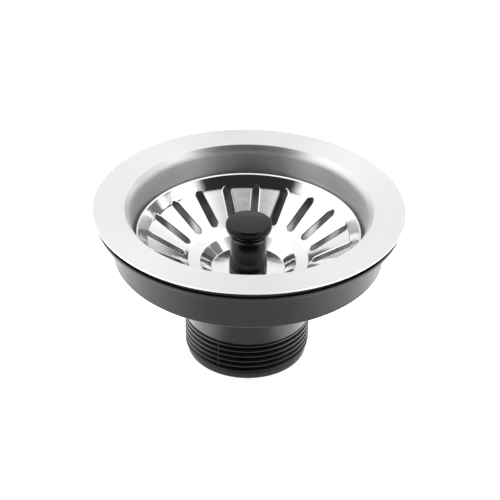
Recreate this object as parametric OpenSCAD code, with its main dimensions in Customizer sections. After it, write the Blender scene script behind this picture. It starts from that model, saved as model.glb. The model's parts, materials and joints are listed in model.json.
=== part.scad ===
// Basket strainer waste for a kitchen sink: a pressed steel dish with a lift-out
// strainer basket, clamped by a centre screw to a moulded drain body whose outlet
// carries a parallel pipe thread.
// The origin is the centre of the outlet's lower end, +Z points up out of the sink.

/* [Overall] */
// Height from the outlet's end to the flange's top edge
total_h = 63.4; // [60:0.2:72]
// Diameter of the visible flange
flange_d = 114; // [112:0.5:118]

/* [Strainer dish] */
// Thickness of the dish's sheet
dish_t = 0.5; // [0.4:0.1:0.8]
// Diameter of the dish's mouth, inside its wall
mouth_d = 87.8; // [87:0.1:88.4]
// How far the flange falls towards the mouth
flange_fall = 0.5; // [0.2:0.1:0.8]
// Width of the flare from the wall out to the flange
flare_w = 1.6; // [1.4:0.1:2.6]
// Depth of the flare
flare_depth = 2.4; // [2:0.1:4]
// Depth of the dish's floor under the flange's top edge
dish_depth = 33.6; // [33.2:0.1:34]
// Number of drain holes in the dish's floor
drain_holes = 10; // [6:1:12]
// Diameter of each drain hole
drain_hole_d = 5.6; // [4:0.2:6]

/* [Drain body] */
// Diameter of the collar under the sink
collar_d = 112.4; // [111:0.2:114]
// Thickness of the collar
collar_t = 1.3; // [1:0.1:2]
// Diameter of the drum
drum_d = 100.4; // [99:0.2:102]
// Height of the drum under the collar
drum_h = 15.4; // [14:0.2:17]
// Number of ribs that hold the screw boss in the outlet
spider_ribs = 3; // [3:1:4]

/* [Outlet thread] */
// Outer diameter of the pipe thread
thread_d = 47.8; // [47.6:0.1:47.9]
// Pitch of the pipe thread
thread_pitch = 2.309; // [2:0.001:2.5]
// Number of full thread turns
thread_turns = 6; // [4:1:6]
// Inner diameter of the outlet
outlet_bore_d = 41; // [38:0.5:42]

/* [Gaskets] */
// Thickness of the gasket on top of the sink
upper_gasket_t = 1.1; // [0.8:0.1:1.2]
// Thickness of the gasket under the sink
lower_gasket_t = 1.3; // [1:0.1:1.4]

/* [Basket] */
// Diameter over the basket's rim
basket_d = 83; // [82:0.2:84.6]
// Thickness of the basket's sheet
basket_t = 0.6; // [0.5:0.1:0.7]
// Number of slots round the basket
slot_count = 20; // [12:1:24]
// Width of each slot
slot_w = 3.1; // [2:0.1:3.4]

/* [Knob] */
// Diameter of the knob's cap
knob_d = 17.2; // [15:0.2:19]
// Height of the knob above the basket's floor
knob_h = 21; // [18:0.2:21]

/* [Hidden] */
$fn = 96;

// Smallest gap left between two pieces that rest on each other
rest_gap = 0.02;
// Radial clearance of a shaft that turns in its hole
running_fit = 0.05;
// Overrun of a cutting shape past the face that it cuts
cut = 1;

flange_r = flange_d / 2;
mouth_r = mouth_d / 2;
thread_r = thread_d / 2;
bore_r = outlet_bore_d / 2;
collar_r = collar_d / 2;
drum_r = drum_d / 2;

// The flange is a shallow cone that ends in a crease where the mouth's flare begins
crease_r = mouth_r + flare_w;
crease_z = total_h - flange_fall;

// Dish floor, its centre well for the clamp screw, and the foot of its wall
dish_floor_z = total_h - dish_depth;
dish_floor_r = 24.4;
well_r = 7.2;
well_z = dish_floor_z - 3;
wall_foot_r = mouth_r - 1;
wall_foot_z = total_h - 13.2;
drain_pcd_r = 13.4;

// Drain body heights, from the gaskets down
upper_gasket_z = total_h - dish_t - upper_gasket_t;
collar_top_z = upper_gasket_z - lower_gasket_t;
collar_z = collar_top_z - collar_t;
drum_z = collar_z - drum_h;
body_wall = 3;
neck_r = thread_r - 0.35;
neck_z = 24.6;
funnel_foot_r = 28;
funnel_foot_z = 26.8;
boss_r = 7.4;
boss_top_z = well_z - dish_t - 0.5;
boss_z = boss_top_z - 11;
rib_t = 2.4;

// Thread crests stand on a core, and the lowest is above a plain lead-in
thread_depth = 1.35;
crest_w = 0.5;
first_crest_z = 3.9;
lead_in_z = 2.7;
lead_in_r = thread_r - 0.75;

// Centre screw, M6, in its brass insert
screw_r = 3;
screw_head_r = 5.4;
screw_head_h = 2;
screw_seal_t = 0.6;
insert_r = 4.2;
insert_h = 8;

// Basket outline
basket_r = basket_d / 2;
basket_rim_z = total_h - 11.2;
shoulder_r = basket_r - 3.9;
shoulder_z = basket_rim_z - 4.2;
floor_ring_r = 22.6;
floor_ring_z = total_h - 24.4;
step_out_r = 18;
step_out_z = total_h - 25;
step_in_r = 13.9;
basket_floor_z = total_h - 28.3;
step_in_z = basket_floor_z + 0.1;
hub_r = 7.5;
slot_in_r = 24;
slot_out_r = 38.3;
slot_turn = -3.7;

// Knob outline
knob_r = knob_d / 2;
knob_top_z = basket_floor_z + knob_h;
knob_stem_r = 6.9;
knob_skirt_r = 7.15;
knob_edge_round = 1.5;

// Stopper under the basket, which swivels on the knob's M5 screw
pin_r = 2.5;
pin_head_r = 4.2;
pin_head_h = 1.2;
plate_r = 16;
plate_z = dish_floor_z + 0.7;
plate_t = 2.2;
plate_hub_r = 9;
washer_t = 0.5;
plate_top_z = basket_floor_z - basket_t - washer_t - 2 * rest_gap;
seal_r = 22.4;
seal_foot_r = 20.2;

// Points of an arc round centre c, from angle a0 to a1, in n steps
function arc(c, r, a0, a1, n) =
    [for (i = [0:n]) c + r * [cos(a0 + (a1 - a0) * i / n), sin(a0 + (a1 - a0) * i / n)]];

// Unit vector at right angles to the line from p to q, on its left
function left_of(p, q) = [p.y - q.y, q.x - p.x] / norm(q - p);

// Direction in which point i of a line moves when the whole line is offset by 1
function miter(line, i) =
    let (
        n = len(line),
        a = left_of(line[max(i - 1, 0)], line[max(i, 1)]),
        b = left_of(line[min(i, n - 2)], line[min(i + 1, n - 1)])
    )
    (a + b) / (1 + a * b);

// Closed outline of a sheet of thickness t to the left of a line
function sheet(line, t) = concat(
    line,
    [for (i = [len(line) - 1:-1:0]) line[i] + t * miter(line, i)]
);

// Ring between two radii with flat faces
module ring(r_out, r_in, h) {
    difference() {
        cylinder(r = r_out, h = h);
        translate([0, 0, -cut]) cylinder(r = r_in, h = h + 2 * cut);
    }
}

// Outer face of the drain body, from the collar's top down to the neck
body_outside = concat(
    [[collar_r, collar_top_z], [collar_r, collar_z], [drum_r, collar_z]],
    arc([drum_r - 0.9, drum_z + 0.9], 0.9, 0, -90, 4),
    [[drum_r - 3, drum_z], [funnel_foot_r, funnel_foot_z]],
    [[neck_r, neck_z], [neck_r, first_crest_z + thread_turns * thread_pitch]]
);

// Inner face of the drain body, from the bore's lower end up to the collar's top
body_inside = [
    [bore_r, 0],
    [bore_r, neck_z + 0.6],
    [funnel_foot_r - 1.5, funnel_foot_z + 1.6],
    [drum_r - body_wall, drum_z + 2.6],
    [drum_r - body_wall, collar_top_z]
];

// One crest of the thread, with its two flanks, as a stretch of outline going down
function crest(z) = [
    [thread_r - thread_depth, z + thread_pitch / 2],
    [thread_r, z + crest_w / 2],
    [thread_r, z - crest_w / 2],
    [thread_r - thread_depth, z - thread_pitch / 2]
];

// Lower end of the body's outline: thread, lead-in and end face
body_thread = concat(
    [for (i = [thread_turns - 1:-1:0], p = crest(first_crest_z + i * thread_pitch)) p],
    [[lead_in_r, lead_in_z], [lead_in_r, 1], [lead_in_r - 0.4, 0]]
);

module drain_body() {
    color("#1b1b1c") {
        rotate_extrude() polygon(concat(body_outside, body_thread, body_inside));
        spider();
    }
}

// Boss on ribs in the outlet that takes the centre screw's insert
module spider() {
    difference() {
        union() {
            translate([0, 0, boss_z]) cylinder(r = boss_r, h = boss_top_z - boss_z);
            for (i = [0:spider_ribs - 1])
                rotate([0, 0, 90 + i * 360 / spider_ribs])
                    translate([0, -rib_t / 2, boss_z + 1])
                        cube([bore_r + 1, rib_t, boss_top_z - boss_z - 3]);
        }
        translate([0, 0, boss_top_z - insert_h]) cylinder(r = insert_r + rest_gap, h = insert_h + cut);
        translate([0, 0, boss_z - cut]) cylinder(r = screw_r + 0.6, h = boss_top_z);
    }
}

module insert_nut() {
    color("#b8913f")
        translate([0, 0, boss_top_z - insert_h])
            ring(insert_r, screw_r + running_fit, insert_h);
}

// Flat ring of rubber between the sink's underside and the collar
module lower_gasket() {
    color("#101011")
        translate([0, 0, collar_top_z + rest_gap])
            ring(collar_r - 1, crease_r + 1, lower_gasket_t - 2 * rest_gap);
}

// Height of the flange's underside at radius r
function flange_under(r) =
    total_h - dish_t - flange_fall * (flange_r - r) / (flange_r - crease_r);

// Foam ring under the flange, its top following the flange's fall
module upper_gasket() {
    out_r = collar_r - 0.6;
    in_r = crease_r + 1;
    color("#161617")
        rotate_extrude() polygon([
            [in_r, upper_gasket_z],
            [out_r, upper_gasket_z],
            [out_r, flange_under(out_r) - rest_gap],
            [in_r, flange_under(in_r) - rest_gap]
        ]);
}

// Top face of the dish's sheet, from the centre hole out to the flange's edge
dish_line = concat(
    [[screw_r + 0.3, well_z], [well_r - 1, well_z], [well_r, well_z + 1]],
    [[well_r, dish_floor_z - 0.8], [well_r + 0.8, dish_floor_z]],
    [[dish_floor_r, dish_floor_z], [dish_floor_r + 1.4, dish_floor_z + 0.8]],
    [[wall_foot_r - 2.4, wall_foot_z - 3.2], [wall_foot_r - 0.7, wall_foot_z - 1.2]],
    [[wall_foot_r, wall_foot_z + 1]],
    [[mouth_r - 0.1, crease_z - flare_depth - 1.4], [mouth_r + 0.15, crease_z - flare_depth + 0.2]],
    [[mouth_r + 0.7, crease_z - flare_depth + 1.1], [crease_r - 0.15, crease_z - 0.25]],
    [[crease_r + 0.2, crease_z]],
    [[flange_r, total_h]]
);

module strainer_dish() {
    color("#d4d4d2")
        difference() {
            rotate_extrude() polygon(sheet(dish_line, -dish_t));
            for (i = [0:drain_holes - 1])
                rotate([0, 0, i * 360 / drain_holes])
                    translate([drain_pcd_r, 0, dish_floor_z - dish_t - cut])
                        cylinder(d = drain_hole_d, h = dish_t + 2 * cut);
        }
}

module screw_seal() {
    color("#202021")
        translate([0, 0, well_z + rest_gap])
            ring(screw_head_r - 0.2, screw_r + 0.2, screw_seal_t - rest_gap);
}

// Pan-head screw with a cross recess
module clamp_screw() {
    head_z = well_z + screw_seal_t + rest_gap;
    color("#b9b9b7")
        difference() {
            union() {
                translate([0, 0, boss_top_z - insert_h - 1])
                    cylinder(r = screw_r, h = head_z - boss_top_z + insert_h + 2);
                translate([0, 0, head_z]) cylinder(r = screw_head_r, h = screw_head_h - 0.5);
                translate([0, 0, head_z + screw_head_h - 0.5])
                    cylinder(r1 = screw_head_r, r2 = screw_head_r - 0.9, h = 0.5);
            }
            for (a = [0, 90])
                rotate([0, 0, a])
                    translate([-2.6, -0.5, head_z + screw_head_h - 1.3]) cube([5.2, 1, 1.3 + cut]);
        }
}

// Plate with a hub that carries the stopper's seal and swivels on the knob's screw
module stopper_plate() {
    color("#2a2a2b")
        difference() {
            union() {
                translate([0, 0, plate_z]) cylinder(r = plate_r, h = plate_t);
                translate([0, 0, plate_z]) cylinder(r = plate_hub_r, h = plate_top_z - plate_z);
            }
            translate([0, 0, plate_z - cut]) cylinder(r = pin_r + running_fit, h = plate_top_z);
            translate([0, 0, plate_z - cut]) cylinder(r = pin_head_r + 0.5, h = pin_head_h + 0.1 + cut);
        }
}

// Rubber disc whose lip seals on the dish's floor outside the drain holes
module stopper_seal() {
    seat_z = plate_z + plate_t + rest_gap;
    seat_r = plate_hub_r + rest_gap;
    color("#131314")
        rotate_extrude() polygon([
            [seat_r, seat_z],
            [plate_r + 1, seat_z],
            [seal_foot_r - 1, dish_floor_z + 1],
            [seal_foot_r, dish_floor_z + rest_gap],
            [seal_foot_r + 1, dish_floor_z + rest_gap],
            [seal_r, dish_floor_z + 1.4],
            [plate_r + 3, seat_z + 1.5],
            [seat_r, seat_z + 1.5]
        ]);
}

module swivel_washer() {
    color("#c9c9c4")
        translate([0, 0, plate_top_z + rest_gap])
            ring(hub_r - 1, pin_r + running_fit, washer_t);
}

// Top face of the basket's sheet, from the centre hole out to the rim
basket_line = concat(
    [[pin_r + 0.1, basket_floor_z], [hub_r, basket_floor_z]],
    [[step_in_r, step_in_z], [step_out_r, step_out_z], [floor_ring_r, floor_ring_z]],
    [[shoulder_r, shoulder_z]],
    [[basket_r - 0.9, basket_rim_z - 0.6]],
    arc([basket_r - 0.5, basket_rim_z - 0.6], 0.6, 120, 30, 3)
);

// Outline of one slot, lying along +X
module slot_shape() {
    r = slot_w / 2;
    translate([slot_in_r + r, 0]) circle(r = r, $fn = 32);
    translate([slot_out_r - r, 0]) circle(r = r, $fn = 32);
    translate([slot_in_r + r, -r]) square([slot_out_r - slot_in_r - slot_w, slot_w]);
}

module strainer_basket() {
    color("#eeeeec")
        difference() {
            rotate_extrude() polygon(sheet(basket_line, -basket_t));
            for (i = [0:slot_count - 1])
                rotate([0, 0, 90 + slot_turn + i * 360 / slot_count])
                    translate([0, 0, floor_ring_z - 3])
                        linear_extrude(height = shoulder_z - floor_ring_z + 6) slot_shape();
        }
}

// Mushroom knob with a blind hole for its screw
module knob() {
    hole_h = knob_h - 5;
    cap_z = knob_top_z - 3.4;
    color("#161617")
        rotate_extrude() polygon(concat(
            [[pin_r + rest_gap, basket_floor_z + rest_gap]],
            [[knob_skirt_r, basket_floor_z + rest_gap], [knob_skirt_r, basket_floor_z + 1]],
            [[knob_stem_r, cap_z - 4.2]],
            [[knob_r, cap_z]],
            arc([knob_r - knob_edge_round, knob_top_z - 0.4 - knob_edge_round], knob_edge_round, 0, 80, 5),
            [[0, knob_top_z], [0, basket_floor_z + hole_h], [pin_r + rest_gap, basket_floor_z + hole_h]]
        ));
}

// Pan-head screw from under the stopper up into the knob
module knob_screw() {
    head_z = plate_z;
    color("#c2c2c0")
        difference() {
            union() {
                translate([0, 0, head_z]) cylinder(r = pin_head_r, h = pin_head_h);
                translate([0, 0, head_z]) cylinder(r = pin_r, h = basket_floor_z + knob_h - 6 - head_z);
            }
            translate([-pin_head_r - cut, -0.5, head_z - cut])
                cube([2 * (pin_head_r + cut), 1, 0.6 + cut]);
        }
}

drain_body();
insert_nut();
lower_gasket();
upper_gasket();
strainer_dish();
screw_seal();
clamp_screw();
stopper_plate();
stopper_seal();
swivel_washer();
strainer_basket();
knob();
knob_screw();
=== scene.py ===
"""Looks of the basket strainer waste: finished meshes, materials, light and camera.

Lengths are millimetres in the row frame (+Z up, origin at the outlet's lower end) until
mesh_piece() turns them into metres.
"""
import json
import math

import bpy
from mathutils import Matrix, Vector


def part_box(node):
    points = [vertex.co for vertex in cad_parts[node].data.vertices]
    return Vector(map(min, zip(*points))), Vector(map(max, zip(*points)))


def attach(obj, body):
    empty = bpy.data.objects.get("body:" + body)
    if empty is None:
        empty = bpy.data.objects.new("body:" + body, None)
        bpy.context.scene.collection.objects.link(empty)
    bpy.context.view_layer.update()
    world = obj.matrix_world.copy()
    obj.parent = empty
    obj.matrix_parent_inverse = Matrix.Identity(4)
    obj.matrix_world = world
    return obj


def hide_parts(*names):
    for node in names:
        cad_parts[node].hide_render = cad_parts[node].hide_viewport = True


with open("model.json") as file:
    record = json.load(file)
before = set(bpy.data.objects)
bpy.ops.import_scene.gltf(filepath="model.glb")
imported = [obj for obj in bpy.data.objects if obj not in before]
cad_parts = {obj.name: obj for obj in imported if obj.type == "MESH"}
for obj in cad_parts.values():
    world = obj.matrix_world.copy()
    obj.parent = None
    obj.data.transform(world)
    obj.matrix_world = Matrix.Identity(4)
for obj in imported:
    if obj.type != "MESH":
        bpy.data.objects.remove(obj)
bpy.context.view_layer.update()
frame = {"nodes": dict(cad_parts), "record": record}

MM = 0.001
SEGMENTS = 288  # faces round a large turned piece
TINY = 1e-6  # mm, for radii that are the same or zero


def top_of(node):
    """Height of a CAD node's top, in mm."""
    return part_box(node)[1].z / MM


def bottom_of(node):
    """Height of a CAD node's lowest point, in mm."""
    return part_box(node)[0].z / MM


def radius_of(node):
    """Outer radius of a CAD node, in mm."""
    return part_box(node)[1].x / MM


# ---------------------------------------------------------------- outlines and meshes

def fillet(before, corner, after, radius, steps):
    """Points of the arc that rounds a corner between two neighbours."""
    a = (Vector(before) - Vector(corner)).normalized()
    b = (Vector(after) - Vector(corner)).normalized()
    half = a.angle(b) / 2
    reach = radius / math.tan(half)
    centre = Vector(corner) + (a + b).normalized() * radius / math.sin(half)
    start = Vector(corner) + a * reach - centre
    end = Vector(corner) + b * reach - centre
    turn = start.angle_signed(end)
    points = []
    for i in range(steps + 1):
        arm = Matrix.Rotation(-turn * i / steps, 2) @ start
        points.append(tuple(centre + arm))
    return points


def rounded(corners, closed=True, steps=6):
    """Outline through corners (r, z) or (r, z, radius), rounded where a radius is given."""
    out = []
    count = len(corners)
    for i, corner in enumerate(corners):
        ends = not closed and i in (0, count - 1)
        if len(corner) == 2 or ends:
            out.append(tuple(corner[:2]))
            continue
        before = corners[i - 1][:2]
        after = corners[(i + 1) % count][:2]
        out += fillet(before, corner[:2], after, corner[2], steps)
    return out


def refined(line, step):
    """The same line with extra points, so that no stretch is longer than step."""
    out = [line[0]]
    for a, b in zip(line, line[1:]):
        parts = max(1, math.ceil(math.dist(a, b) / step))
        for i in range(1, parts + 1):
            t = i / parts
            out.append((a[0] + (b[0] - a[0]) * t, a[1] + (b[1] - a[1]) * t))
    return out


def mesh_piece(name, verts, faces, sharp_deg=38):
    """A new object from points in mm, smooth except at edges sharper than sharp_deg."""
    mesh = bpy.data.meshes.new(name)
    mesh.from_pydata([(x * MM, y * MM, z * MM) for x, y, z in verts], [], faces)
    mesh.validate()
    mesh.polygons.foreach_set("use_smooth", [True] * len(mesh.polygons))
    mesh.set_sharp_from_angle(angle=math.radians(sharp_deg))
    mesh.update()
    piece = bpy.data.objects.new(name, mesh)
    bpy.context.scene.collection.objects.link(piece)
    return piece


def turned(outline, segments=SEGMENTS, first=0):
    """Points and faces of a closed outline (r, z) turned round Z, numbered from first."""
    verts = []
    faces = []
    rings = []
    for r, z in outline:
        start = first + len(verts)
        if r < TINY:
            verts.append((0, 0, z))
            rings.append([start] * segments)
            continue
        for s in range(segments):
            a = 2 * math.pi * s / segments
            verts.append((r * math.cos(a), r * math.sin(a), z))
        rings.append(list(range(start, start + segments)))
    for ring, other in zip(rings, rings[1:] + rings[:1]):
        for s in range(segments):
            n = (s + 1) % segments
            corners = []
            for v in (ring[s], ring[n], other[n], other[s]):
                if v not in corners:
                    corners.append(v)
            if len(corners) > 2:
                faces.append(corners)
    return verts, faces


def lathe(name, outline, segments=SEGMENTS):
    """A turned piece. The outline runs so that its inside is on its left."""
    verts, faces = turned(outline, segments)
    return mesh_piece(name, verts, faces)


def pressed_sheet(name, line, thickness, holes):
    """A turned sheet with a ring of pressed holes, the line being its top face from the
    centre out. holes holds count, turn in degrees, inner and outer radius, and
    half_width(r). The sheet rolls down a little at every hole, as pressed steel does."""
    inner, outer = holes["inner"], holes["outer"]
    sector = 2 * math.pi / holes["count"]
    side = 9  # faces from the middle of a web to the hole's edge
    crowding = 1.6  # over 1, so that the faces are narrower at the hole
    hole_rows = 26
    close, wide = 0.15, 0.4  # two extra rows on each side of the ring, so far from it
    clear = 0.6  # the line's own rows stop this far from the ring
    roll_w = 0.45
    roll_depth = 0.16
    shut = 1e-7  # radians, for a hole that has no width in a row

    # Rows of the sheet from the centre out, closer together at both ends of the holes
    rows = [(r, z) for r, z in line if r < inner - clear or r > outer + clear]
    middle = (inner + outer) / 2
    reach = (outer - inner) / 2
    span = [inner - wide, inner - close]
    for i in range(hole_rows + 1):
        span.append(middle - reach * math.cos(math.pi * i / hole_rows))
    span += [outer + close, outer + wide]
    split = sum(1 for r, _ in rows if r < inner)
    rows[split:split] = [(r, height_at(line, r)) for r in span]

    # Each row is a ring of parts, and each part runs from a web's middle to a hole or back
    grid = []
    for r, z in rows:
        inside = inner - TINY <= r <= outer + TINY
        gap = math.asin(min(1, holes["half_width"](r) / r)) if inside else 0
        ring = []
        for k in range(holes["count"]):
            centre = math.radians(holes["turn"]) + k * sector
            for way in (-1, 1):
                part = []
                for i in range(side + 1):
                    t = i / side if way < 0 else 1 - i / side
                    ease = 1 - (1 - t) ** crowding
                    off = gap + (sector / 2 - gap) * (1 - ease)
                    a = centre + way * off
                    near = distance_to_hole(holes, r, off)
                    drop = roll_depth * max(0, 1 - near / roll_w) ** 2
                    part.append((r * math.cos(a), r * math.sin(a), z - drop))
                ring.append(part)
        grid.append((gap > shut, ring))

    # Number the points: neighbouring parts share their end points unless a hole parts them
    verts = []
    faces = []
    numbers = []
    for holed, ring in grid:
        row = []
        first = len(verts)
        for p, part in enumerate(ring):
            ids = []
            for i, point in enumerate(part):
                shared = i == 0 and p > 0 and not (holed and p % 2 == 1)
                if shared:
                    ids.append(row[-1][-1])
                elif i == side and p == len(ring) - 1:
                    ids.append(first)
                else:
                    ids.append(len(verts))
                    verts.append(point)
            row.append(ids)
        numbers.append(row)
    for row, above in zip(numbers, numbers[1:]):
        for ids, ups in zip(row, above):
            for i in range(side):
                faces.append((ids[i + 1], ids[i], ups[i], ups[i + 1]))
    piece = mesh_piece(name, verts, faces)
    thicken = piece.modifiers.new("sheet", "SOLIDIFY")
    thicken.thickness = thickness * MM
    thicken.offset = -1
    thicken.use_even_offset = True
    settle(piece, sharp_deg=50)
    return piece


def height_at(line, r):
    """Height of a line (r, z) at radius r."""
    for (r0, z0), (r1, z1) in zip(line, line[1:]):
        if r0 <= r <= r1 and r1 > r0:
            return z0 + (z1 - z0) * (r - r0) / (r1 - r0)
    return line[-1][1]


def distance_to_hole(holes, r, off):
    """Rough distance in mm from a point at radius r and angle off to the hole's edge."""
    across = r * math.sin(off)
    clamped = min(max(r, holes["inner"] + TINY), holes["outer"] - TINY)
    sideways = across - holes["half_width"](clamped)
    if r < holes["inner"] or r > holes["outer"]:
        return math.hypot(r - clamped, max(0, sideways))
    return max(0, sideways)


def settle(piece, sharp_deg):
    """Applies a piece's modifiers and marks its sharp edges again."""
    bpy.context.view_layer.update()
    depsgraph = bpy.context.evaluated_depsgraph_get()
    mesh = bpy.data.meshes.new_from_object(piece.evaluated_get(depsgraph))
    piece.modifiers.clear()
    piece.data = mesh
    mesh.set_sharp_from_angle(angle=math.radians(sharp_deg))


# ---------------------------------------------------------------- material nodes

def new_material(name):
    """A material with its node tree, its Principled shader and its position in mm."""
    material = bpy.data.materials.new(name)
    material.use_nodes = True
    tree = material.node_tree
    shader = tree.nodes["Principled BSDF"]
    coords = tree.nodes.new("ShaderNodeTexCoord")
    scale = tree.nodes.new("ShaderNodeVectorMath")
    scale.operation = "SCALE"
    scale.inputs["Scale"].default_value = 1 / MM
    tree.links.new(coords.outputs["Object"], scale.inputs[0])
    return material, tree, shader, scale.outputs[0]


def math_node(tree, operation, a, b=None):
    """A Math node; a and b are sockets or numbers."""
    node = tree.nodes.new("ShaderNodeMath")
    node.operation = operation
    for socket, value in zip(node.inputs, (a, b)):
        if value is None:
            continue
        if isinstance(value, (int, float)):
            socket.default_value = value
        else:
            tree.links.new(value, socket)
    return node.outputs[0]


def noise(tree, vector, scale, detail=3, roughness=0.55):
    """A noise texture's value."""
    node = tree.nodes.new("ShaderNodeTexNoise")
    node.inputs["Scale"].default_value = scale
    node.inputs["Detail"].default_value = detail
    node.inputs["Roughness"].default_value = roughness
    tree.links.new(vector, node.inputs["Vector"])
    return node.outputs["Fac"]


def remap(tree, value, low, high, to_low, to_high):
    """Value from the range low..high to the range to_low..to_high, held at its ends."""
    node = tree.nodes.new("ShaderNodeMapRange")
    node.inputs["From Min"].default_value = low
    node.inputs["From Max"].default_value = high
    node.inputs["To Min"].default_value = to_low
    node.inputs["To Max"].default_value = to_high
    tree.links.new(value, node.inputs["Value"])
    return node.outputs["Result"]


def spread(tree, value, to_low, to_high):
    """A noise's value, most of which lies in 0.3..0.7, taken to the range given."""
    return remap(tree, value, 0.3, 0.7, to_low, to_high)


def polar(tree, position, along, around, up):
    """Coordinates that run along the radius, round the axis and up, each with its scale.
    The way round is folded into two equal halves, so that it has no seam."""
    parts = tree.nodes.new("ShaderNodeSeparateXYZ")
    tree.links.new(position, parts.inputs[0])
    x, y, z = parts.outputs
    squares = math_node(tree, "ADD", math_node(tree, "MULTIPLY", x, x),
                        math_node(tree, "MULTIPLY", y, y))
    radius = math_node(tree, "SQRT", squares)
    angle = math_node(tree, "ARCTAN2", y, x)
    turn = math_node(tree, "PINGPONG", angle, math.pi)
    joined = tree.nodes.new("ShaderNodeCombineXYZ")
    tree.links.new(math_node(tree, "MULTIPLY", radius, along), joined.inputs[0])
    tree.links.new(math_node(tree, "MULTIPLY", turn, around), joined.inputs[1])
    tree.links.new(math_node(tree, "MULTIPLY", z, up), joined.inputs[2])
    return joined.outputs[0]


def bump(tree, shader, height, depth, before=None):
    """Bump of depth mm from a height, added after another bump if one is given."""
    node = tree.nodes.new("ShaderNodeBump")
    node.inputs["Strength"].default_value = 1.0
    node.inputs["Distance"].default_value = depth * MM
    tree.links.new(height, node.inputs["Height"])
    if before is not None:
        tree.links.new(before, node.inputs["Normal"])
    tree.links.new(node.outputs["Normal"], shader.inputs["Normal"])
    return node.outputs["Normal"]


def colour_between(tree, shader, value, dark, light):
    """Base colour that runs from dark to light with a value."""
    ramp = tree.nodes.new("ShaderNodeMix")
    ramp.data_type = "RGBA"
    ramp.inputs["A"].default_value = (*dark, 1)
    ramp.inputs["B"].default_value = (*light, 1)
    tree.links.new(value, ramp.inputs["Factor"])
    tree.links.new(ramp.outputs["Result"], shader.inputs["Base Color"])


def satin_steel():
    """Stainless steel brushed round its axis: fine rings in bump, shine and colour."""
    material, tree, shader, position = new_material("satin_steel")
    shader.inputs["Metallic"].default_value = 1.0
    across = polar(tree, position, along=9, around=1.2, up=9)
    rings = noise(tree, across, 1.0, detail=4, roughness=0.7)
    cloud = noise(tree, position, 0.05, detail=2)
    colour_between(tree, shader, spread(tree, rings, 0, 1),
                   (0.70, 0.70, 0.695), (0.79, 0.79, 0.785))
    rough = math_node(tree, "ADD", spread(tree, rings, 0.37, 0.45),
                      spread(tree, cloud, -0.03, 0.03))
    tree.links.new(rough, shader.inputs["Roughness"])
    bump(tree, shader, rings, 0.006)
    shader.inputs["Anisotropic"].default_value = 0.75
    shader.inputs["Anisotropic Rotation"].default_value = 0.25
    around = tree.nodes.new("ShaderNodeTangent")
    around.direction_type = "RADIAL"
    around.axis = "Z"
    tree.links.new(around.outputs["Tangent"], shader.inputs["Tangent"])
    return material


def polished_steel():
    """Mirror-polished steel: faint waves from pressing and faint polishing rings."""
    material, tree, shader, position = new_material("polished_steel")
    shader.inputs["Metallic"].default_value = 1.0
    across = polar(tree, position, along=5, around=0.8, up=5)
    rings = noise(tree, across, 1.0, detail=3, roughness=0.6)
    waves = noise(tree, position, 0.16, detail=2)
    colour_between(tree, shader, waves, (0.70, 0.70, 0.695), (0.77, 0.77, 0.765))
    tree.links.new(spread(tree, rings, 0.05, 0.11), shader.inputs["Roughness"])
    first = bump(tree, shader, waves, 0.05)
    bump(tree, shader, rings, 0.0012, first)
    return material


def moulded_plastic(name, dark, light, rough, grain, gloss=0.5):
    """Moulded plastic: fine grain, cloudy shine and a few rubbed specks."""
    material, tree, shader, position = new_material(name)
    shader.inputs["Specular IOR Level"].default_value = gloss
    fine = noise(tree, position, 5.0, detail=3, roughness=0.6)
    cloud = noise(tree, position, 0.12, detail=3)
    speck = noise(tree, position, 1.4, detail=2, roughness=0.4)
    rubbed = remap(tree, speck, 0.70, 0.78, 0, 1)
    shade = math_node(tree, "ADD", remap(tree, cloud, 0.35, 0.65, 0, 0.5), rubbed)
    colour_between(tree, shader, shade, dark, light)
    shine = math_node(tree, "ADD", spread(tree, cloud, rough - 0.05, rough + 0.06),
                      spread(tree, fine, -0.03, 0.03))
    tree.links.new(shine, shader.inputs["Roughness"])
    bump(tree, shader, fine, grain)
    return material


def rubber(name, colour, grain):
    """Matt rubber or foam with a fine pitted grain."""
    material, tree, shader, position = new_material(name)
    fine = noise(tree, position, 3.2, detail=5, roughness=0.65)
    dusty = tuple(c * 1.9 for c in colour)
    colour_between(tree, shader, remap(tree, fine, 0.35, 0.7, 0, 1), colour, dusty)
    tree.links.new(spread(tree, fine, 0.62, 0.8), shader.inputs["Roughness"])
    bump(tree, shader, fine, grain)
    return material


def plain_metal(name, dark, light, rough):
    """Turned or plated metal of a fastener."""
    material, tree, shader, position = new_material(name)
    shader.inputs["Metallic"].default_value = 1.0
    across = polar(tree, position, along=6, around=1.0, up=6)
    rings = noise(tree, across, 1.0, detail=3)
    colour_between(tree, shader, rings, dark, light)
    tree.links.new(spread(tree, rings, rough - 0.06, rough + 0.08), shader.inputs["Roughness"])
    bump(tree, shader, rings, 0.004)
    return material


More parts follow.
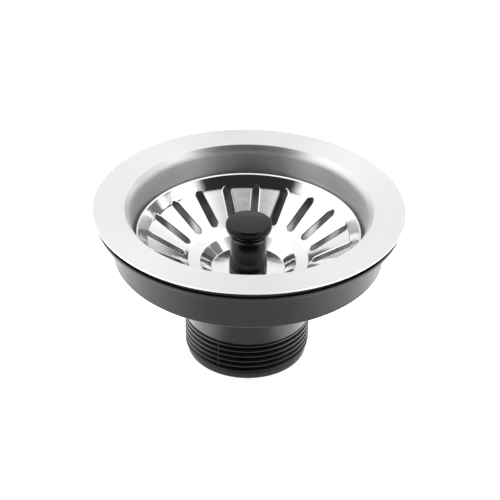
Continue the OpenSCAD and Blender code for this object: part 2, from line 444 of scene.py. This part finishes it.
MATERIALS = {
    "satin_steel": satin_steel(),
    "polished_steel": polished_steel(),
    "body_plastic": moulded_plastic(
        "body_plastic", dark=(0.003, 0.003, 0.0032), light=(0.009, 0.009, 0.0095),
        rough=0.30, grain=0.008, gloss=0.40),
    "knob_plastic": moulded_plastic(
        "knob_plastic", dark=(0.002, 0.002, 0.002), light=(0.004, 0.004, 0.004),
        rough=0.16, grain=0.004, gloss=0.27),
    "stopper_plastic": moulded_plastic(
        "stopper_plastic", dark=(0.03, 0.03, 0.031), light=(0.06, 0.06, 0.062),
        rough=0.42, grain=0.008),
    "washer_plastic": moulded_plastic(
        "washer_plastic", dark=(0.58, 0.57, 0.53), light=(0.70, 0.69, 0.65),
        rough=0.38, grain=0.006),
    "gasket_rubber": rubber("gasket_rubber", (0.010, 0.010, 0.011), grain=0.02),
    "gasket_foam": rubber("gasket_foam", (0.014, 0.014, 0.015), grain=0.05),
    "seal_rubber": rubber("seal_rubber", (0.012, 0.012, 0.013), grain=0.012),
    "screw_steel": plain_metal(
        "screw_steel", dark=(0.58, 0.58, 0.57), light=(0.72, 0.72, 0.71), rough=0.24),
    "brass": plain_metal("brass", dark=(0.62, 0.44, 0.17), light=(0.78, 0.60, 0.28), rough=0.26),
}


def dress(piece, slot, body, node=None):
    """Gives a new piece its material, slot and body, and hides the CAD node it stands for."""
    piece.data.materials.clear()
    piece.data.materials.append(MATERIALS[slot])
    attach(piece, body)
    if node:
        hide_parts(node)
    return piece


# ---------------------------------------------------------------- driving sizes, in mm

TOP = top_of("strainer_dish")
FLANGE_R = radius_of("strainer_dish")
DISH_T = 0.5  # thickness of the dish's sheet
BASKET_T = 0.6  # thickness of the basket's sheet
MOUTH_R = 43.9  # where the wall starts to flare out
FLARE_W = 1.6
FLARE_DEPTH = 2.4
CREASE_R = MOUTH_R + FLARE_W  # where the flare meets the flange
FLANGE_FALL = 0.5  # the flange slopes down so much from its edge to the crease
DISH_FLOOR = TOP - 33.6
BODY_TOP = top_of("drain_body")
COLLAR_R = radius_of("drain_body")
BASKET_R = 41.5
BASKET_RIM = TOP - 11.2
BASKET_FLOOR = TOP - 28.3
KNOB_TOP = top_of("knob")
KNOB_R = radius_of("knob")


# ---------------------------------------------------------------- dish and basket

def strainer_dish():
    """Flange, wall and floor of one pressing, with drain holes and a well for the screw."""
    wall_r = MOUTH_R - 1.0
    wall_z = TOP - 13.2
    well_r = 7.2
    well_z = DISH_FLOOR - 3
    screw_hole_r = 3.3
    crease_z = TOP - FLANGE_FALL
    line = rounded([
        (screw_hole_r, well_z),
        (well_r, well_z, 0.9),
        (well_r, DISH_FLOOR, 0.9),
        (24.9, DISH_FLOOR, 1.5),
        (wall_r - 2.0, wall_z - 3.4, 2.5),
        (wall_r, wall_z, 2.5),
        (MOUTH_R, crease_z - FLARE_DEPTH, 5),
        (CREASE_R, crease_z, 0.5),
        (FLANGE_R, TOP),
    ], closed=False, steps=10)
    line = refined(line, 1.6)
    hole_r = 2.8
    ring_r = 13.4  # the drain holes' centres
    holes = {
        "count": 10,
        "turn": 0,
        "inner": ring_r - hole_r,
        "outer": ring_r + hole_r,
        "half_width": lambda r: math.sqrt(max(0, hole_r ** 2 - (r - ring_r) ** 2)),
    }
    dish = pressed_sheet("strainer_dish_steel", line, DISH_T, holes)
    return dress(dish, "satin_steel", "dish", "strainer_dish")


def strainer_basket():
    """Mirror-polished basket: slotted slope, stepped floor and a rolled rim."""
    screw_hole_r = 2.6
    line = rounded([
        (screw_hole_r, BASKET_FLOOR),
        (13.9, BASKET_FLOOR + 0.1, 0.4),
        (18.0, TOP - 25.0, 0.4),
        (22.6, TOP - 24.4, 0.8),
        (37.6, TOP - 15.4, 2.0),
        (BASKET_R - 0.6, BASKET_RIM - 0.4, 0.35),
        (BASKET_R, BASKET_RIM - 0.1),
    ], closed=False, steps=8)
    line = refined(line, 1.2)
    half = 1.55  # of a slot's width
    inner = 24.0
    outer = 38.3
    turn = 90 - 3.7  # of one slot's middle from +X, in degrees

    def half_width(r):
        if r < inner + half:
            return math.sqrt(max(0, half ** 2 - (inner + half - r) ** 2))
        if r > outer - half:
            return math.sqrt(max(0, half ** 2 - (r - outer + half) ** 2))
        return half

    holes = {"count": 20, "turn": turn, "inner": inner, "outer": outer, "half_width": half_width}
    basket = pressed_sheet("strainer_basket_steel", line, BASKET_T, holes)
    return dress(basket, "polished_steel", "basket", "strainer_basket")


strainer_dish()
strainer_basket()


# ---------------------------------------------------------------- knob

def knob():
    """Mushroom knob: domed cap with a soft edge, chamfered neck, waisted stem and foot."""
    foot = bottom_of("knob")
    cap = KNOB_TOP - 3.4  # the cap's underside
    bore = 2.52  # radius of the blind hole for the knob's screw
    bore_top = foot + 16
    outline = rounded([
        (bore, foot),
        (7.15, foot, 0.25),
        (7.15, foot + 1.4, 0.8),
        (6.85, foot + 5.0, 12),
        (6.85, cap - 3.6, 0.8),
        (7.5, cap - 2.1, 0.6),
        (7.8, cap - 0.9, 0.3),
        (8.35, cap - 0.4, 0.4),
        (KNOB_R, cap + 0.7, 0.6),
        (KNOB_R, KNOB_TOP - 0.75, 1.1),
        (3.0, KNOB_TOP - 0.05, 8),
        (0, KNOB_TOP),
        (0, bore_top),
        (bore, bore_top),
    ], steps=8)
    return dress(lathe("knob_moulding", outline, 192), "knob_plastic", "basket", "knob")


knob()


# ---------------------------------------------------------------- drain body

THREAD_R = 23.9  # over the crests
PITCH = 2.309
THREAD_DEPTH = 1.35
CORE_R = THREAD_R - THREAD_DEPTH
NECK_R = THREAD_R - 0.1
NECK_FOOT = 16.6
FIRST_CREST = 3.9  # height of the lowest crest at the front


def helix_thread(first):
    """Points and faces of the thread's ridge, one closed ribbon that fades in and out."""
    per_turn = 144
    turns = 5.9
    lead = 0.35  # turns below the first crest
    start = math.radians(-90) - 2 * math.pi * lead
    root = 0.3  # depth to which the ridge is sunk into the core
    crest_half = 0.27
    base_half = PITCH / 2 - 0.12
    soft = 0.12  # width of the crest's soft edge
    fade = 0.12  # turns in which the ridge grows to its full height
    lowest = 0.02  # part of the full height that is left at both ends
    count = round(per_turn * turns)
    verts = []
    faces = []
    for i in range(count + 1):
        turn = i / per_turn
        rise = max(lowest, min(1, turn / fade, (turns - turn) / fade))
        a = start + 2 * math.pi * turn
        z = FIRST_CREST + PITCH * (turn - lead)
        crest = CORE_R + THREAD_DEPTH * rise
        section = [
            (CORE_R - root, z + base_half), (CORE_R, z + base_half),
            (crest - soft, z + crest_half + 0.07), (crest, z + crest_half - 0.05),
            (crest, z - crest_half + 0.05), (crest - soft, z - crest_half - 0.07),
            (CORE_R, z - base_half), (CORE_R - root, z - base_half),
        ]
        for r, h in section:
            verts.append((r * math.cos(a), r * math.sin(a), h))
    size = len(section)
    for i in range(count):
        for k in range(size):
            n = (k + 1) % size
            low = first + i * size
            high = low + size
            faces.append((low + k, low + n, high + n, high + k))
    faces.append([first + k for k in reversed(range(size))])
    faces.append([first + count * size + k for k in range(size)])
    return verts, faces


def block(first, x0, x1, y0, y1, z0, z1, turn_deg):
    """Points and faces of a bar turned round Z."""
    a = math.radians(turn_deg)
    verts = []
    for z in (z0, z1):
        for x, y in ((x0, y0), (x1, y0), (x1, y1), (x0, y1)):
            verts.append((x * math.cos(a) - y * math.sin(a), x * math.sin(a) + y * math.cos(a), z))
    quads = ((3, 2, 1, 0), (4, 5, 6, 7), (0, 1, 5, 4), (1, 2, 6, 5), (2, 3, 7, 6), (3, 0, 4, 7))
    return verts, [[first + v for v in quad] for quad in quads]


def drain_body():
    """Collar, drum, funnel, neck, threaded outlet, parting lines and the screw's spider."""
    collar_z = BODY_TOP - 1.3
    drum_r = 50.2
    drum_z = collar_z - 15.4
    drum_wall_r = drum_r - 3
    bore_r = 20.5
    lead_in_r = THREAD_R - 0.75
    shell = rounded([
        (COLLAR_R, BODY_TOP, 0.25),
        (drum_wall_r, BODY_TOP),
        (drum_wall_r, drum_z + 2.6, 3),
        (26.5, 28.4, 2),
        (bore_r, 25.2, 1.5),
        (bore_r, 0, 0.3),
        (23.0, 0, 0.3),
        (lead_in_r, 1.1, 0.3),
        (lead_in_r, 2.5, 0.2),
        (CORE_R, 3.3, 0.2),
        (CORE_R, NECK_FOOT - 0.9, 0.2),
        (NECK_R, NECK_FOOT, 0.25),
        (NECK_R, 24.6, 1.5),
        (28.0, 26.8, 2),
        (drum_wall_r, drum_z, 1.5),
        (drum_r, drum_z, 0.8),
        (drum_r, collar_z, 0.25),
        (COLLAR_R, collar_z, 0.35),
    ], steps=5)
    verts, faces = turned(shell)

    def add(part):
        verts.extend(part[0])
        faces.extend(part[1])

    # The boss for the centre screw and the three spokes that hold it
    boss_r = 7.4
    boss_top = DISH_FLOOR - 4.0
    boss_low = boss_top - 11
    insert_r = 4.22
    insert_z = boss_top - 8
    screw_way_r = 3.6
    boss = rounded([
        (insert_r, boss_top, 0.2), (insert_r, insert_z), (screw_way_r, insert_z),
        (screw_way_r, boss_low), (boss_r, boss_low, 0.6), (boss_r, boss_top, 0.5),
    ], steps=4)
    add(turned(boss, 96, first=len(verts)))
    half = 1.2
    for i in range(3):
        add(block(len(verts), 6.5, bore_r + 0.6, -half, half,
                  boss_low + 1, boss_top - 2, 90 + 120 * i))

    # The mould's two parting lines across the thread, then the thread
    half = 0.12
    for turn_deg in (244, 64):
        add(block(len(verts), CORE_R - 0.5, THREAD_R - 0.35, -half, half,
                  2.6, NECK_FOOT, turn_deg))
    add(helix_thread(len(verts)))
    body = mesh_piece("drain_body_moulding", verts, faces, sharp_deg=30)
    return dress(body, "body_plastic", "root", "drain_body")


drain_body()


# ---------------------------------------------------------------- gaskets

def gasket(name, slot, body):
    """A flat ring with soft edges in the place of its CAD node."""
    low, high = (v.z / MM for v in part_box(name))
    out_r = radius_of(name)
    in_r = CREASE_R + 1
    fall = 0
    if name == "upper_gasket":
        fall = FLANGE_FALL * (out_r - in_r) / (FLANGE_R - CREASE_R)
    soft = 0.3
    outline = rounded([
        (in_r, low, soft), (out_r, low, soft), (out_r, high, soft), (in_r, high - fall, soft),
    ], steps=4)
    outline.reverse()
    return dress(lathe(name + "_ring", outline), slot, body, name)


gasket("lower_gasket", "gasket_rubber", "root")
gasket("upper_gasket", "gasket_foam", "dish")


# ---------------------------------------------------------------- CAD nodes that stay

SLOT_OF = {row["node"]: row["material_slot"] for row in frame["record"]["subparts"]}
for name in ("insert_nut", "screw_seal", "clamp_screw", "stopper_plate", "stopper_seal",
             "swivel_washer", "knob_screw"):
    piece = frame["nodes"][name]
    for slot in piece.material_slots:
        slot.material = MATERIALS[SLOT_OF[name]]


# ---------------------------------------------------------------- floor, light, camera

def floor():
    """A plain pale round table that glows, most close to the outlet on both sides."""
    low = -0.03  # just under the outlet's end, so that the two faces don't mix
    sides = 64
    verts, faces = turned([(0, low), (6000, low)], sides)
    piece = mesh_piece("floor", verts, faces[:sides])
    material, tree, shader, position = new_material("floor_pale")
    shader.inputs["Roughness"].default_value = 0.9
    colour_between(tree, shader, noise(tree, position, 0.01),
                   (0.38, 0.38, 0.38), (0.40, 0.40, 0.40))
    parts = tree.nodes.new("ShaderNodeSeparateXYZ")
    tree.links.new(position, parts.inputs[0])
    across = math_node(tree, "ABSOLUTE", parts.outputs[0])
    distance = tree.nodes.new("ShaderNodeVectorMath")
    distance.operation = "LENGTH"
    tree.links.new(position, distance.inputs[0])
    near = math_node(tree, "MULTIPLY", remap(tree, across, 23, 33, 0, 2.6),
                     remap(tree, distance.outputs["Value"], 44, 70, 1, 0))
    glow = math_node(tree, "ADD", remap(tree, across, 45, 110, 0.92, 2.3), near)
    shader.inputs["Emission Color"].default_value = (1, 1, 1, 1)
    tree.links.new(glow, shader.inputs["Emission Strength"])
    piece.data.materials.append(material)


def studio_world():
    """Even light all round, brighter from both sides, with a dark room behind the camera."""
    world = bpy.data.worlds.new("studio")
    bpy.context.scene.world = world
    world.use_nodes = True
    tree = world.node_tree
    background = tree.nodes["Background"]
    coords = tree.nodes.new("ShaderNodeTexCoord")
    parts = tree.nodes.new("ShaderNodeSeparateXYZ")
    tree.links.new(coords.outputs["Generated"], parts.inputs[0])
    x, _, z = parts.outputs

    def towards(azimuth_deg, elevation_deg, core_deg, edge_deg):
        """1 within core_deg of a direction, falling to 0 at edge_deg from it."""
        a, e = math.radians(azimuth_deg), math.radians(elevation_deg)
        dot = tree.nodes.new("ShaderNodeVectorMath")
        dot.operation = "DOT_PRODUCT"
        tree.links.new(coords.outputs["Generated"], dot.inputs[0])
        dot.inputs[1].default_value = (
            math.cos(e) * math.cos(a), math.cos(e) * math.sin(a), math.sin(e))
        return remap(tree, dot.outputs["Value"], math.cos(math.radians(edge_deg)),
                     math.cos(math.radians(core_deg)), 0.0, 1.0)

    def product(a, b):
        return math_node(tree, "MULTIPLY", a, b)

    # Light grows to both sides and upwards
    sides = remap(tree, math_node(tree, "ABSOLUTE", x), 0.40, 0.75, 1.05, 1.5)
    high = remap(tree, z, 0.45, 0.75, 0.98, 1.40)
    light = product(sides, high)

    # The dark room ends just above the horizon and before it reaches either side
    low = remap(tree, z, 0.05, 0.18, 0.0, 0.98)
    across = math_node(tree, "ABSOLUTE", math_node(tree, "SUBTRACT", x, 0.01))
    strip = remap(tree, across, 0.58, 0.76, 1.0, 0.0)
    room = product(product(low, strip), towards(-88, 33, 46, 66))

    # Two nearly dark gaps in the light on the right, which the basket's step mirrors
    gaps = [product(towards(15, 39, 9, 11.5), 0.85), product(towards(32, 26, 9, 11.5), 0.85)]
    for dark in (room, *gaps):
        light = product(light, math_node(tree, "SUBTRACT", 1.0, dark))
    tree.links.new(light, background.inputs["Strength"])
    background.inputs["Color"].default_value = (1, 1, 1, 1)


def camera():
    """The camera of the main view: 33 degrees down, along +Y."""
    data = bpy.data.cameras.new("camera")
    data.sensor_width = 36
    data.lens = 92.95
    data.clip_start = 0.01
    data.clip_end = 50
    eye = bpy.data.objects.new("camera", data)
    bpy.context.scene.collection.objects.link(eye)
    down = math.radians(33.35)
    roll = math.radians(1.2)
    eye.matrix_world = (
        Matrix.Translation((0.0006, -0.4034, 0.3084))
        @ Matrix.Rotation(math.pi / 2 - down, 4, "X")
        @ Matrix.Rotation(roll, 4, "Z")
    )
    bpy.context.scene.camera = eye


floor()
studio_world()
camera()
bpy.context.scene.view_settings.view_transform = "Standard"


def corners(box):
    """A box as two plain lists of numbers."""
    return [[float(v) for v in corner] for corner in box]
